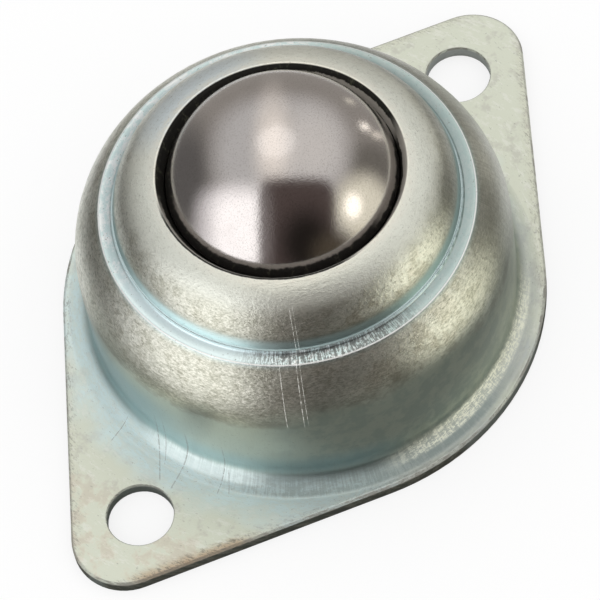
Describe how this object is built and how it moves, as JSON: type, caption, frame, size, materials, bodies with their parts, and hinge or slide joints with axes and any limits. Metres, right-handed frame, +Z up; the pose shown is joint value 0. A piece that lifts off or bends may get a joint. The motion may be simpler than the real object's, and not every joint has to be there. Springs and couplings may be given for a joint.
{
  "type": "ball castor",
  "caption": "Flange-mounted ball castor: a steel load ball turns freely on bearing balls in a domed, zinc-plated pressed housing with two bolt holes.",
  "frame": {"origin": "centre of the flange's underside, on the axis of the load ball", "axes": "+X along the line of the two bolt holes, +Z up through the load ball, away from the mounting face"},
  "size_m": [0.0508, 0.0332, 0.0216],
  "materials": {
    "zinc_plated_steel": "bright zinc plating with a bluish cast",
    "hardened_cup_steel": "zinc plated, satin",
    "load_ball_steel": "polished",
    "bearing_ball_steel": "polished"
  },
  "bodies": {
    "housing": {"housing": "zinc_plated_steel", "bearing_cup": "hardened_cup_steel"},
    "pole_ball": {"bearing_ball_01": "bearing_ball_steel"},
    "main_ball": {"main_ball": "load_ball_steel"},
    "bearing_ball_rows": {"bearing_ball_02": "bearing_ball_steel", "bearing_ball_03": "bearing_ball_steel", "bearing_ball_04": "bearing_ball_steel", "bearing_ball_05": "bearing_ball_steel", "bearing_ball_06": "bearing_ball_steel", "bearing_ball_07": "bearing_ball_steel", "bearing_ball_08": "bearing_ball_steel", "bearing_ball_09": "bearing_ball_steel", "bearing_ball_10": "bearing_ball_steel", "bearing_ball_11": "bearing_ball_steel", "bearing_ball_12": "bearing_ball_steel", "bearing_ball_13": "bearing_ball_steel", "bearing_ball_14": "bearing_ball_steel", "bearing_ball_15": "bearing_ball_steel", "bearing_ball_16": "bearing_ball_steel", "bearing_ball_17": "bearing_ball_steel", "bearing_ball_18": "bearing_ball_steel", "bearing_ball_19": "bearing_ball_steel", "bearing_ball_20": "bearing_ball_steel", "bearing_ball_21": "bearing_ball_steel", "bearing_ball_22": "bearing_ball_steel", "bearing_ball_23": "bearing_ball_steel", "bearing_ball_24": "bearing_ball_steel", "bearing_ball_25": "bearing_ball_steel", "bearing_ball_26": "bearing_ball_steel", "bearing_ball_27": "bearing_ball_steel", "bearing_ball_28": "bearing_ball_steel", "bearing_ball_29": "bearing_ball_steel", "bearing_ball_30": "bearing_ball_steel", "bearing_ball_31": "bearing_ball_steel", "bearing_ball_32": "bearing_ball_steel"}
  },
  "joints": [
    {"name": "ball_swivel", "type": "hinge", "parent": "housing", "child": "pole_ball", "pos_m": [0, 0, 0.0137], "axis": [0, 0, 1], "continuous": true},
    {"name": "ball_roll", "type": "hinge", "parent": "pole_ball", "child": "main_ball", "pos_m": [0, 0, 0.0137], "axis": [1, 0, 0], "continuous": true},
    {"name": "row_orbit", "type": "hinge", "parent": "housing", "child": "bearing_ball_rows", "pos_m": [0, 0, 0.0137], "axis": [0, 0, 1], "continuous": true}
  ],
  "couplings": [
    {"joint": "row_orbit", "follows": "ball_swivel", "ratio": 0.3984}
  ]
}
